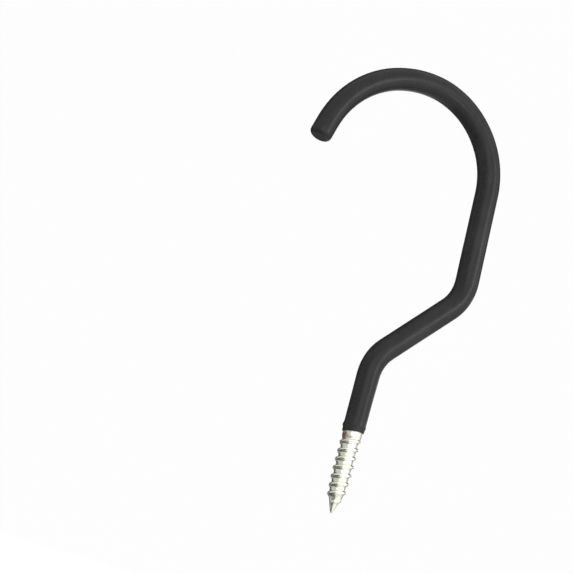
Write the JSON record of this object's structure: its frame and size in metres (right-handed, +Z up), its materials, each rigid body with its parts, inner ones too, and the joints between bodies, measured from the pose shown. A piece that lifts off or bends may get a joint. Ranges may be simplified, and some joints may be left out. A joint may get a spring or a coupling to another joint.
{
  "type": "bicycle storage hook",
  "caption": "Screw-in storage hook: a bent steel rod with a wood-screw thread at its upper end and a soft black vinyl coat from the neck to the hook's tip.",
  "frame": {"origin": "on the screw's axis, where the vinyl coat ends and the bare steel begins", "axes": "+Z up the screw to its point, as it goes into the beam; the hook lies in the XZ plane with its stem on -X and its tip on +X; Y is across the rod"},
  "size_m": [0.0871, 0.0092, 0.1789],
  "materials": {
    "zinc_steel": "bright zinc plate",
    "black_vinyl": "satin, dipped"
  },
  "bodies": {
    "root": {"threaded_rod": "zinc_steel", "vinyl_sleeve": "black_vinyl"}
  },
  "joints": []
}
